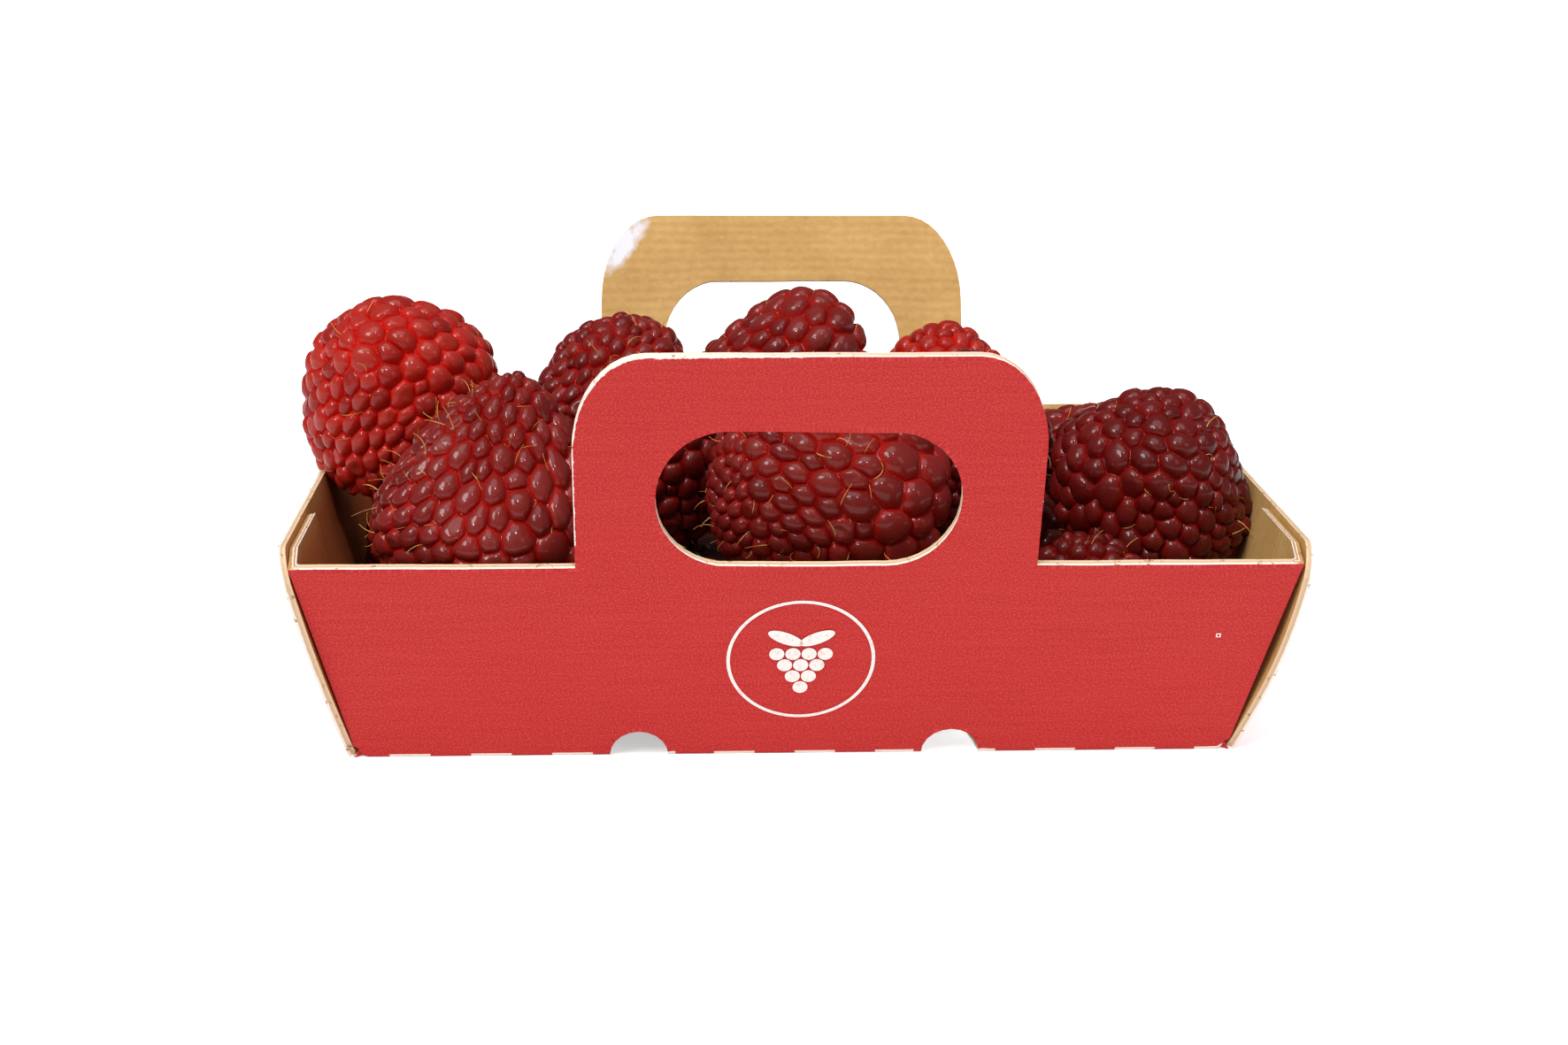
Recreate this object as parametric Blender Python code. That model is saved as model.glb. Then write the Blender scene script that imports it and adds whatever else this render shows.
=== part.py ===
"""A folded cardboard punnet with two carrying handles, heaped with raspberries.

Blender 4.5. Units are metres and +Z is up. The origin is the centre of the base's underside,
X runs along the punnet's length and the front wall faces -Y.
"""

import math

import bmesh
import bpy
from mathutils import Matrix

MM = 0.001

# Carton: one die-cut blank of fine-flute board, folded up and glued at its four corners.
BOARD = 1.0 * MM
BASE_LENGTH = 110.0 * MM
BASE_DEPTH = 69.0 * MM
WALL_HEIGHT = 27.0 * MM
END_HEIGHT = 29.0 * MM
WALL_LEAN = math.radians(21.0)
TOP_LENGTH = 122.0 * MM
END_LEAN = math.atan2((TOP_LENGTH - BASE_LENGTH) / 2, WALL_HEIGHT)

# Handles: each carries on up the slope of its wall. Heights are measured along that slope.
HANDLE_WIDTH = 54.5 * MM
HANDLE_TOP = 58.0 * MM
HANDLE_CORNER = (8.5 * MM, 13.0 * MM)
FRONT_HANDLE_SHIFT = 0.8 * MM
BACK_HANDLE_SHIFT = 1.8 * MM
GRIP_WIDTH = 35.6 * MM
GRIP_BOTTOM = 29.0 * MM
GRIP_TOP = 48.0 * MM
GRIP_CORNER = (8.5 * MM, 9.4 * MM)

# End panels bow out a little past the front and back walls, and their top corners are rounded.
END_BOW = 0.9 * MM
END_CORNER = (3.0 * MM, 4.0 * MM)

# Corner tabs: folded from the walls' side edges and glued inside the end panels.
TAB_END = 24.5 * MM
TAB_SKEW = 2.0 * MM
TAB_FOOT = 1.9 * MM
TAB_TOP = 28.4 * MM
TAB_CHAMFER = (5.0 * MM, 2.2 * MM)
GLUE_OVERLAP = 0.3 * MM

# Where panels meet at a fold, one runs this far into the other's board.
WALL_INSET = 0.6 * BOARD
BASE_INSET = 0.35 * BOARD

# Drain slots across the long bottom folds: an arch in the wall and an oblong in the base.
SLOT_X = 19.3 * MM
SLOT_SIZE = (3.6 * MM, 12.5 * MM, 3.5 * MM)
SLOT_DROP = 0.2 * MM

# Heap: the berries' bodies over a bed that fills the bottom of the tray.
CLEARANCE = 0.4 * MM
BED_HEIGHT = 14.0 * MM
MOUND_CENTRE = 12.0 * MM
MOUND_SIZE = (50.0 * MM, 33.0 * MM, 19.0 * MM)
BERRY_SEGMENTS = 16
BERRY_RINGS = 10

# Each berry: centre x, y, z, heading and tilt of its tip in degrees, length, width, and taper.
# A tilt of 0 points the tip up and 90 lays the berry on its side. Lengths are in millimetres.
BERRIES = {
    "left_rear": (-50.2, -1.0, 38.4, 300, 165, 26.5, 24.5, 0.18),
    "left_front": (-36.2, -27.0, 32.2, 10, 14, 28.5, 27.5, 0.32),
    "rear_left": (-22.6, 22.5, 32.6, 40, 20, 24.5, 23.0, 0.22),
    "middle_left": (-17.5, -4.0, 30.5, 0, 30, 24.0, 21.5, 0.12),
    "rear_middle": (1.6, 21.0, 36.2, 15, 62, 26.5, 23.0, 0.06),
    "front_middle": (4.0, -26.0, 31.0, 190, 75, 29.5, 25.0, 0.06),
    "rear_right": (23.6, 27.0, 30.0, 0, 10, 24.0, 21.0, 0.15),
    "middle_right": (24.2, -3.0, 31.8, 180, 20, 25.0, 22.5, 0.10),
    "right_front": (46.6, -14.0, 29.2, 10, 14, 24.8, 24.4, 0.04),
    "low_front_right": (37.0, -26.0, 13.8, 250, 10, 24.0, 20.5, 0.28),
    "centre": (3.2, -2.0, 30.4, 100, 70, 23.0, 20.5, 0.12),
    "low_front_left": (-39.0, -16.0, 11.8, 30, 90, 25.0, 20.0, 0.12),
    "low_front_mid_left": (-17.0, -25.5, 11.8, 200, 88, 25.0, 20.5, 0.12),
    "low_front_mid_right": (10.5, -20.5, 10.9, 80, 90, 24.0, 18.5, 0.12),
    "low_left": (-45.2, 3.0, 15.2, 150, 15, 26.0, 21.0, 0.14),
    "low_mid_left": (-19.5, 0.0, 10.9, 45, 90, 24.0, 18.5, 0.12),
    "low_centre": (5.5, 3.5, 12.0, 330, 90, 25.0, 20.5, 0.12),
    "low_right": (35.0, 3.0, 11.9, 10, 90, 25.0, 20.5, 0.12),
    "corner_rear_left": (-42.5, 25.0, 20.5, 250, 60, 24.0, 21.0, 0.12),
    "low_rear_left": (-14.0, 25.5, 11.9, 170, 90, 25.0, 20.0, 0.12),
    "low_rear_right": (13.0, 24.5, 11.6, 0, 90, 23.0, 19.5, 0.12),
    "corner_rear_right": (42.5, 20.5, 20.0, 330, 60, 26.0, 22.5, 0.10),
}

# Colours are linear RGB.
PRINTED_CARD = ((0.604, 0.036, 0.039), 0.62)
RASPBERRY = ((0.315, 0.022, 0.026), 0.38)


def clear_scene():
    for obj in list(bpy.data.objects):
        bpy.data.objects.remove(obj, do_unlink=True)


def new_collection(name):
    collection = bpy.data.collections.new(name)
    bpy.context.scene.collection.children.link(collection)
    return collection


def new_material(name, finish):
    colour, roughness = finish
    material = bpy.data.materials.new(name)
    material.use_nodes = True
    shader = material.node_tree.nodes["Principled BSDF"]
    shader.inputs["Base Color"].default_value = (*colour, 1.0)
    shader.inputs["Roughness"].default_value = roughness
    shader.inputs["Metallic"].default_value = 0.0
    return material


def arc(centre, radii, start, end, steps=8):
    """Points of an elliptical arc, from the start to the end angle in degrees."""
    points = []
    for i in range(steps + 1):
        angle = math.radians(start + (end - start) * i / steps)
        points.append((centre[0] + radii[0] * math.cos(angle), centre[1] + radii[1] * math.sin(angle)))
    return points


def wall_matrix(turn, reach, lean, sink):
    """Stands a flat outline on the fold line that lies reach from the centre, leaning outwards.

    The outline's X runs along the fold and its Y up the slope. Sink is how far the board's middle
    lies inside the panel's outer plane.
    """
    stand = Matrix.Translation((0, -reach, 0)) @ Matrix.Rotation(math.pi / 2 + lean, 4, "X")
    return Matrix.Rotation(math.radians(turn), 4, "Z") @ stand @ Matrix.Translation((0, 0, -sink))


def board(name, outlines, matrix, collection):
    """A flat piece of board: the first outline is its edge and any other is a hole in it."""
    curve = bpy.data.curves.new(name, "CURVE")
    curve.dimensions = "2D"
    curve.fill_mode = "BOTH"
    curve.extrude = BOARD / 2
    for outline in outlines:
        spline = curve.splines.new("POLY")
        spline.points.add(len(outline) - 1)
        spline.use_cyclic_u = True
        for point, (x, y) in zip(spline.points, outline):
            point.co = (x, y, 0.0, 1.0)
    flat = bpy.data.objects.new(name + "_outline", curve)
    collection.objects.link(flat)
    bpy.context.view_layer.update()
    mesh = bpy.data.meshes.new_from_object(flat.evaluated_get(bpy.context.evaluated_depsgraph_get()))
    bpy.data.objects.remove(flat, do_unlink=True)
    bm = bmesh.new()
    bm.from_mesh(mesh)
    bmesh.ops.remove_doubles(bm, verts=bm.verts, dist=0.00001)
    bmesh.ops.recalc_face_normals(bm, faces=bm.faces)
    bm.to_mesh(mesh)
    bm.free()
    mesh.transform(matrix)
    mesh.materials.clear()
    piece = bpy.data.objects.new(name, mesh)
    collection.objects.link(piece)
    return piece


def hide_helper(obj):
    obj.hide_render = True
    obj.display_type = "WIRE"


def boolean(obj, other, operation):
    modifier = obj.modifiers.new(f"{operation.lower()}_{other.name}", "BOOLEAN")
    modifier.operation = operation
    modifier.solver = "EXACT"
    modifier.object = other
    hide_helper(other)


def handle_wall_outline(handle_shift):
    """A long wall with its handle. Its side edges end inside the end panels' board."""
    top = WALL_HEIGHT / math.cos(WALL_LEAN)
    foot = BASE_LENGTH / 2 - WALL_INSET
    brim = TOP_LENGTH / 2 - WALL_INSET
    left = handle_shift - HANDLE_WIDTH / 2
    right = handle_shift + HANDLE_WIDTH / 2
    across, down = HANDLE_CORNER
    outline = [(-foot, 0), (foot, 0), (brim, top), (right, top)]
    outline += arc((right - across, HANDLE_TOP - down), HANDLE_CORNER, 0, 90)
    outline += arc((left + across, HANDLE_TOP - down), HANDLE_CORNER, 90, 180)
    outline += [(left, top), (-brim, top)]
    return outline


def grip_outline(handle_shift):
    """The hand hole: flat along its top and bottom, with long round ends."""
    across, up = GRIP_CORNER
    reach = GRIP_WIDTH / 2 - across
    high = GRIP_TOP - up
    low = GRIP_BOTTOM + up
    outline = []
    for side_x, side_y, start in ((reach, high, 0), (-reach, high, 90), (-reach, low, 180), (reach, low, 270)):
        outline += arc((handle_shift + side_x, side_y), GRIP_CORNER, start, start + 90)
    return outline


def wall_edge(height):
    """Half the depth of the tray at a height up an end panel's slope."""
    return BASE_DEPTH / 2 + height * math.cos(END_LEAN) * math.tan(WALL_LEAN)


def end_outline(steps=8):
    top = END_HEIGHT / math.cos(END_LEAN)
    across, down = END_CORNER
    side = []
    for i in range(steps + 1):
        height = (top - down) * i / steps
        side.append((wall_edge(height) + END_BOW * math.sin(math.pi * height / top), height))
    shoulder = side[-1][0] - across
    side += arc((shoulder, top - down), END_CORNER, 0, 90)[1:]
    return side + [(-x, y) for x, y in reversed(side)]


def tab_outline(side):
    """A glue tab, from inside the board of its wall to its slanted free end."""
    slope = math.cos(END_LEAN)
    top = TAB_TOP / slope
    run, drop = TAB_CHAMFER
    corners = [
        (wall_edge(TAB_FOOT) - WALL_INSET, TAB_FOOT),
        (wall_edge(top - drop) - WALL_INSET, top - drop),
        (wall_edge(top) - WALL_INSET - run, top),
        (TAB_END, top),
        (TAB_END + TAB_SKEW, TAB_FOOT),
    ]
    return [(side * x, y) for x, y in corners]


def slot_cutter(name, x, y, collection):
    mesh = bpy.data.meshes.new(name)
    bm = bmesh.new()
    size = Matrix.Diagonal((*SLOT_SIZE, 1.0))
    bmesh.ops.create_uvsphere(bm, u_segments=22, v_segments=11, radius=1.0, matrix=size)
    bm.to_mesh(mesh)
    bm.free()
    mesh.transform(Matrix.Translation((x, y, -SLOT_DROP)))
    cutter = bpy.data.objects.new(name, mesh)
    collection.objects.link(cutter)
    return cutter


def build_carton(collection, helpers):
    half_length = BASE_LENGTH / 2 - BASE_INSET
    half_depth = BASE_DEPTH / 2 - BASE_INSET
    corners = [
        (-half_length, -half_depth),
        (half_length, -half_depth),
        (half_length, half_depth),
        (-half_length, half_depth),
    ]
    carton = board("carton", [corners], Matrix.Translation((0, 0, BOARD / 2)), collection)
    for name, turn, shift in (("front", 0, FRONT_HANDLE_SHIFT), ("back", 180, -BACK_HANDLE_SHIFT)):
        matrix = wall_matrix(turn, BASE_DEPTH / 2, WALL_LEAN, BOARD / 2)
        outlines = [handle_wall_outline(shift), grip_outline(shift)]
        boolean(carton, board(name + "_wall", outlines, matrix, helpers), "UNION")
    for name, turn in (("right", 90), ("left", -90)):
        matrix = wall_matrix(turn, BASE_LENGTH / 2, END_LEAN, BOARD / 2)
        boolean(carton, board(name + "_end", [end_outline()], matrix, helpers), "UNION")
        glued = wall_matrix(turn, BASE_LENGTH / 2, END_LEAN, BOARD * 1.5 - GLUE_OVERLAP)
        for side in (-1, 1):
            tab = board(f"{name}_tab_{side + 1}", [tab_outline(side)], glued, helpers)
            boolean(carton, tab, "UNION")
    for i, side in enumerate((-1, 1)):
        for j, end in enumerate((-1, 1)):
            place = (end * SLOT_X, side * BASE_DEPTH / 2)
            boolean(carton, slot_cutter(f"slot_cutter_{i}{j}", *place, helpers), "DIFFERENCE")
    carton.data.materials.append(new_material("printed_card", PRINTED_CARD))
    return carton


def build_bed(collection):
    """The heap's lowest part: a block that follows the tray's sloping sides, clear of the tabs."""
    mesh = bpy.data.meshes.new("berry_heap")
    bm = bmesh.new()
    bmesh.ops.create_cube(bm, size=2.0)
    for vert in bm.verts:
        height = BED_HEIGHT if vert.co.z > 0 else BOARD + CLEARANCE
        length = BASE_LENGTH / 2 + height * math.tan(END_LEAN) - (2 * BOARD + CLEARANCE) / math.cos(END_LEAN)
        depth = BASE_DEPTH / 2 + height * math.tan(WALL_LEAN) - (BOARD + CLEARANCE) / math.cos(WALL_LEAN)
        vert.co = (vert.co.x * length, vert.co.y * depth, height)
    bm.to_mesh(mesh)
    bm.free()
    heap = bpy.data.objects.new("berry_heap", mesh)
    collection.objects.link(heap)
    return heap


def build_mound(collection):
    """The middle of the heap, which joins the upper berries to the bed."""
    mesh = bpy.data.meshes.new("mound")
    bm = bmesh.new()
    place = Matrix.Translation((0, 0, MOUND_CENTRE)) @ Matrix.Diagonal((*MOUND_SIZE, 1.0))
    bmesh.ops.create_uvsphere(bm, u_segments=24, v_segments=12, radius=1.0, matrix=place)
    bmesh.ops.bisect_plane(
        bm,
        geom=bm.verts[:] + bm.edges[:] + bm.faces[:],
        plane_co=(0, 0, MOUND_CENTRE / 2),
        plane_no=(0, 0, 1),
        clear_inner=True,
    )
    bmesh.ops.holes_fill(bm, edges=bm.edges)
    bmesh.ops.recalc_face_normals(bm, faces=bm.faces)
    bm.to_mesh(mesh)
    bm.free()
    mound = bpy.data.objects.new("mound", mesh)
    collection.objects.link(mound)
    return mound


def berry_body(name, berry, collection):
    """A blunt, slightly conical body: a sphere narrowed towards its tip, then sized and turned."""
    x, y, z, heading, tilt, length, width, taper = berry
    mesh = bpy.data.meshes.new(name)
    bm = bmesh.new()
    bmesh.ops.create_uvsphere(bm, u_segments=BERRY_SEGMENTS, v_segments=BERRY_RINGS, radius=1.0)
    for vert in bm.verts:
        narrowing = 1.0 - taper * vert.co.z
        vert.co.x *= narrowing * width / 2 * MM
        vert.co.y *= narrowing * width / 2 * MM
        vert.co.z *= length / 2 * MM
    bm.to_mesh(mesh)
    bm.free()
    turn = Matrix.Rotation(math.radians(heading), 4, "Z") @ Matrix.Rotation(math.radians(tilt), 4, "Y")
    mesh.transform(Matrix.Translation((x * MM, y * MM, z * MM)) @ turn)
    body = bpy.data.objects.new(name, mesh)
    collection.objects.link(body)
    return body


def build_heap(collection, helpers):
    heap = build_bed(collection)
    boolean(heap, build_mound(helpers), "UNION")
    for name, berry in BERRIES.items():
        boolean(heap, berry_body("berry_" + name, berry, helpers), "UNION")
    heap.data.materials.append(new_material("raspberry", RASPBERRY))
    return heap


def main():
    clear_scene()
    parts = new_collection("raspberry_punnet")
    helpers = new_collection("cutters")
    build_carton(parts, helpers)
    build_heap(parts, helpers)


main()
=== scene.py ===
# %% [markdown]
# # A punnet of raspberries
# This lesson builds a small folded-card punnet heaped with raspberries. It starts from a plain
# solid model of the same object, called the frame, and puts finished pieces in its place.
# The first cell loads that frame. Later sizes are read from it or repeat a named size of the solid
# model, so the finished pieces land where the solids were, or within a few millimetres.

# %% Load the frame
import math
import random

import bmesh
import bpy
from mathutils import Matrix, Vector, noise


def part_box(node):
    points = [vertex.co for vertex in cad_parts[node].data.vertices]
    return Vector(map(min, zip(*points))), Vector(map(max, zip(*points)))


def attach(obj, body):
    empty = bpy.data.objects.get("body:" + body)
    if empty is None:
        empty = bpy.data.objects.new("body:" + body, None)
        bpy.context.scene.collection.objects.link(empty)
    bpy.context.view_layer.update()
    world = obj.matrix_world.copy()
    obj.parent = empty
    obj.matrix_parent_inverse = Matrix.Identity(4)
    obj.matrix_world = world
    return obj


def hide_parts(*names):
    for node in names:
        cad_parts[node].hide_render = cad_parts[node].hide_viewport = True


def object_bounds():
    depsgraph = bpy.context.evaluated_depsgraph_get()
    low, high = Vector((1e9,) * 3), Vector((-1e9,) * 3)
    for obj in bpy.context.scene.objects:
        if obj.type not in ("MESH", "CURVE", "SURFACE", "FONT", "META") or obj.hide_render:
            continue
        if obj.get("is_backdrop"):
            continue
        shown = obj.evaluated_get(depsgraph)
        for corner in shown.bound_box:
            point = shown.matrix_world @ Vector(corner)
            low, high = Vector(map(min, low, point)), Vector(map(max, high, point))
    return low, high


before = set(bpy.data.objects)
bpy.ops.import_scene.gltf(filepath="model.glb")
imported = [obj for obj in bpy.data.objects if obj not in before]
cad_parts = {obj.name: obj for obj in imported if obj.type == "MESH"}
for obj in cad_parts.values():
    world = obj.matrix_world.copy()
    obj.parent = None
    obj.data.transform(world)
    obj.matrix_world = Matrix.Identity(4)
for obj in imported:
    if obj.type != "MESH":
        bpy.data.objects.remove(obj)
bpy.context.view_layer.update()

MM = 0.001
_, carton_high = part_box("carton")

# %% [markdown]
# ## Small tools for pieces
# A piece is a mesh whose vertices already lie where the piece belongs, so its object stays at the
# origin. One helper turns an edited mesh into such a piece and ties it to the frame. Another makes
# a material's nodes, which saves repeating the same lines for each texture.

# %% Helpers for pieces and materials


def keep(bm, name, stands_for=None, smooth=True):
    """Turn an edited mesh into a named piece that belongs to the frame."""
    mesh = bpy.data.meshes.new(name)
    bm.to_mesh(mesh)
    bm.free()
    for polygon in mesh.polygons:
        polygon.use_smooth = smooth
    piece = bpy.data.objects.new(name, mesh)
    bpy.context.scene.collection.objects.link(piece)
    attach(piece, "root")
    if stands_for:
        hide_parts(stands_for)
    return piece


def bake_modifiers(piece):
    """Make the result of the piece's modifiers its own mesh."""
    graph = bpy.context.evaluated_depsgraph_get()
    mesh = bpy.data.meshes.new_from_object(piece.evaluated_get(graph))
    piece.modifiers.clear()
    piece.data = mesh
    return mesh


def node(tree, kind, sockets=None, **settings):
    """Add a shader node. A socket's value is a number, a colour or another node's output."""
    made = tree.nodes.new("ShaderNode" + kind)
    for name, value in settings.items():
        setattr(made, name, value)
    for socket, source in (sockets or {}).items():
        if isinstance(source, bpy.types.NodeSocket):
            tree.links.new(source, made.inputs[socket])
        else:
            made.inputs[socket].default_value = source
    return made


def math_node(tree, operation, a, b=0.0, clamp=False):
    made = node(tree, "Math", {0: a, 1: b}, operation=operation, use_clamp=clamp)
    return made.outputs[0]


def blend(tree, factor, a, b, mode="MIX"):
    """Mix two colours."""
    made = node(tree, "Mix", {0: factor, 6: a, 7: b}, data_type="RGBA", blend_type=mode)
    return made.outputs[2]


def rgb(red, green, blue):
    """A colour picker's 0 to 255 values as the linear colour that a shader takes."""
    channels = []
    for value in (red, green, blue):
        value /= 255
        channels.append(value / 12.92 if value <= 0.04045 else ((value + 0.055) / 1.055) ** 2.4)
    return (*channels, 1.0)


def ramp(tree, value, stops, interpolation="LINEAR"):
    """A colour ramp with (position, colour) stops."""
    made = node(tree, "ValToRGB", {0: value})
    made.color_ramp.interpolation = interpolation
    band = made.color_ramp.elements
    while len(band) < len(stops):
        band.new(0.5)
    for element, (position, colour) in zip(band, stops):
        element.position = position
        element.color = colour
    return made.outputs[0]


def grain(tree, vector, scale, detail=2.0, roughness=0.5):
    """Noise from 0 to 1."""
    return node(
        tree, "TexNoise", {"Vector": vector, "Scale": scale, "Detail": detail, "Roughness": roughness}
    ).outputs[0]


def stretched(tree, vector, scale):
    return node(tree, "Mapping", {"Vector": vector, "Scale": scale}).outputs[0]


def attribute(tree, name):
    return node(tree, "Attribute", attribute_name=name).outputs["Fac"]


def new_finish(name, roughness, **constants):
    """A material with its Principled shader. Constants set the shader's fixed values."""
    material = bpy.data.materials.new(name)
    material.use_nodes = True
    shader = material.node_tree.nodes["Principled BSDF"]
    shader.inputs["Roughness"].default_value = roughness
    for socket, value in constants.items():
        shader.inputs[socket.replace("_", " ")].default_value = value
    return material, material.node_tree, shader


# %% [markdown]
# ## The carton's sizes
# The carton is one sheet of thin fluted board. Its two long walls carry the handles, its two end
# panels close it, and a tab on each end of the long walls folds round and is glued inside the end
# panel. Walls are measured up their slope, and a fold is measured from the carton's middle.

# %% Sizes of the carton
BOARD = 1.0 * MM
GLUE_GAP = 0.06 * MM
WALL_HEIGHT = 27.0 * MM
END_HEIGHT = 29.0 * MM
WALL_LEAN = math.radians(21.0)
END_LEAN = math.atan2(6.0, 27.0)
END_REACH = carton_high.x - END_HEIGHT * math.tan(END_LEAN)
HALF_LENGTH = END_REACH - (BOARD + GLUE_GAP) / math.cos(END_LEAN)
HALF_DEPTH = 34.5 * MM
END_FOOT = HALF_DEPTH - 0.3 * MM

HANDLE_WIDTH = 54.5 * MM
HANDLE_TOP = 58.0 * MM
HANDLE_CORNER = (8.5 * MM, 13.0 * MM)
FRONT_SHIFT = 0.8 * MM
BACK_SHIFT = -1.8 * MM
GRIP_WIDTH = 35.6 * MM
GRIP_BOTTOM = 29.0 * MM
GRIP_TOP = 48.0 * MM
GRIP_CORNER = (8.5 * MM, 9.4 * MM)

END_BOW = 0.9 * MM
END_CORNER = (3.0 * MM, 4.0 * MM)
TAB_END = 24.5 * MM
TAB_SKEW = 2.0 * MM
TAB_FOOT = 0.6 * MM
TAB_TOP = 28.4 * MM
TAB_CHAMFER = (5.0 * MM, TAB_TOP - WALL_HEIGHT)

SLOT_X = 19.3 * MM
SLOT_HALF = 3.6 * MM
SLOT_RISE = 3.5 * MM
SLOT_REACH = 12.5 * MM
print("walls' half length, mm:", round(1000 * HALF_LENGTH, 2))

# %% [markdown]
# ## Drawing the panels
# Each panel is an outline of a few points, with arcs for its rounded corners. An outline is cut
# into short steps so that its edge can later be a little uneven, as a die leaves it. Two panels
# that share a fold are given the same points along it, and so can be welded there.

# %% Outlines of the panels
EDGE_STEP = 1.3 * MM


def arc(centre, radii, start, end, steps=10):
    """Points of an elliptical arc between two angles in degrees."""
    points = []
    for i in range(steps + 1):
        angle = math.radians(start + (end - start) * i / steps)
        points.append((centre[0] + radii[0] * math.cos(angle), centre[1] + radii[1] * math.sin(angle)))
    return points


def stepped(outline):
    """The same closed outline with points added, so that no edge is longer than a step."""
    points = []
    for a, b in zip(outline, outline[1:] + outline[:1]):
        count = max(1, math.ceil(math.dist(a, b) / EDGE_STEP - 0.001))
        for i in range(count):
            points.append((a[0] + (b[0] - a[0]) * i / count, a[1] + (b[1] - a[1]) * i / count))
    return points


def side_point(height):
    """A long wall's side edge at a height, as (along the fold, up the slope)."""
    return (HALF_LENGTH + height * math.tan(END_LEAN), height / math.cos(WALL_LEAN))


def wall_depth(height):
    """Half the tray's depth at a height."""
    return HALF_DEPTH + height * math.tan(WALL_LEAN)


def wall_outline(shift):
    """A long wall: its foot with two arches, its side edges and its handle."""
    sides = [side_point(height) for height in (0, TAB_FOOT, WALL_HEIGHT)]
    across, down = HANDLE_CORNER
    brim = sides[-1][1]
    left, right = shift - HANDLE_WIDTH / 2, shift + HANDLE_WIDTH / 2
    arch = (SLOT_HALF, SLOT_RISE / math.cos(WALL_LEAN))
    outline = [(-sides[0][0], 0)] + arc((-SLOT_X, 0), arch, 180, 0) + arc((SLOT_X, 0), arch, 180, 0)
    outline += sides + [(right, brim)]
    outline += arc((right - across, HANDLE_TOP - down), HANDLE_CORNER, 0, 90)
    outline += arc((left + across, HANDLE_TOP - down), HANDLE_CORNER, 90, 180)
    outline += [(left, brim)] + [(-x, y) for x, y in reversed(sides[1:])]
    return outline


def grip_outline(shift):
    """The hand hole: flat along its top and bottom, with long round ends."""
    across, up = GRIP_CORNER
    reach = GRIP_WIDTH / 2 - across
    high, low = GRIP_TOP - up, GRIP_BOTTOM + up
    outline = []
    for x, y, start in ((reach, high, 0), (-reach, high, 90), (-reach, low, 180), (reach, low, 270)):
        outline += arc((shift + x, y), GRIP_CORNER, start, start + 90)[:-1]
    return outline


def end_outline(steps=12):
    """An end panel, which bows out past the long walls and has rounded top corners."""
    top = END_HEIGHT / math.cos(END_LEAN)
    across, down = END_CORNER
    side = [(END_FOOT, 0)]
    for i in range(1, steps + 1):
        slope = (top - down) * i / steps
        bow = END_BOW * math.sin(math.pi * slope / top)
        side.append((wall_depth(slope * math.cos(END_LEAN)) + bow, slope))
    side += arc((side[-1][0] - across, top - down), END_CORNER, 0, 90, 6)[1:]
    return side + [(-x, y) for x, y in reversed(side)]


def tab_outline(side):
    """A glue tab, from the fold on its wall's side edge to its slanted free end."""
    run, drop = TAB_CHAMFER
    corners = [
        (wall_depth(TAB_FOOT), TAB_FOOT),
        (wall_depth(TAB_TOP - drop), TAB_TOP - drop),
        (wall_depth(TAB_TOP) - run, TAB_TOP),
        (TAB_END, TAB_TOP),
        (TAB_END + TAB_SKEW, TAB_FOOT),
    ]
    return [(side * x, z / math.cos(END_LEAN)) for x, z in corners]


def base_outline():
    """The base, drawn as seen from below, with the drain slots cut in from its long folds."""
    slot = (SLOT_HALF, SLOT_REACH)
    outline = [(END_REACH, -END_FOOT), (END_REACH, END_FOOT), (HALF_LENGTH, HALF_DEPTH)]
    outline += arc((SLOT_X, HALF_DEPTH), slot, 0, -180) + arc((-SLOT_X, HALF_DEPTH), slot, 0, -180)
    outline += [(-HALF_LENGTH, HALF_DEPTH), (-END_REACH, END_FOOT), (-END_REACH, -END_FOOT)]
    outline += [(-HALF_LENGTH, -HALF_DEPTH)]
    outline += arc((-SLOT_X, -HALF_DEPTH), slot, 180, 0) + arc((SLOT_X, -HALF_DEPTH), slot, 180, 0)
    return outline + [(HALF_LENGTH, -HALF_DEPTH)]


# %% [markdown]
# ## Filling the panels and standing them up
# `triangle_fill` closes an outline and leaves its holes open. The long triangles that it makes are
# split and evened out, so that the board can later bow a little. Each panel then takes its place:
# a wall is stood on its fold and leaned outwards. A UV map keeps where each point lay on the flat
# sheet, because print and flutes follow the sheet and not the folded box.

# %% The folded sheet
LONGEST_EDGE = 6.0 * MM
BASE, WALL, END, TAB = range(4)


def stand(turn, reach, lean):
    """Stands a flat panel on a fold at that reach, facing outwards. Turn 0 is the front wall."""
    raised = Matrix.Translation((0, -reach, 0)) @ Matrix.Rotation(math.pi / 2 + lean, 4, "X")
    return Matrix.Rotation(math.radians(turn), 4, "Z") @ raised


def lie(turn, reach):
    """Where the same panel lies on the flat sheet."""
    flat = Matrix.Translation((0, -reach, 0)) @ Matrix.Diagonal((1, -1, 1, 1))
    return Matrix.Rotation(math.radians(turn), 4, "Z") @ flat


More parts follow.
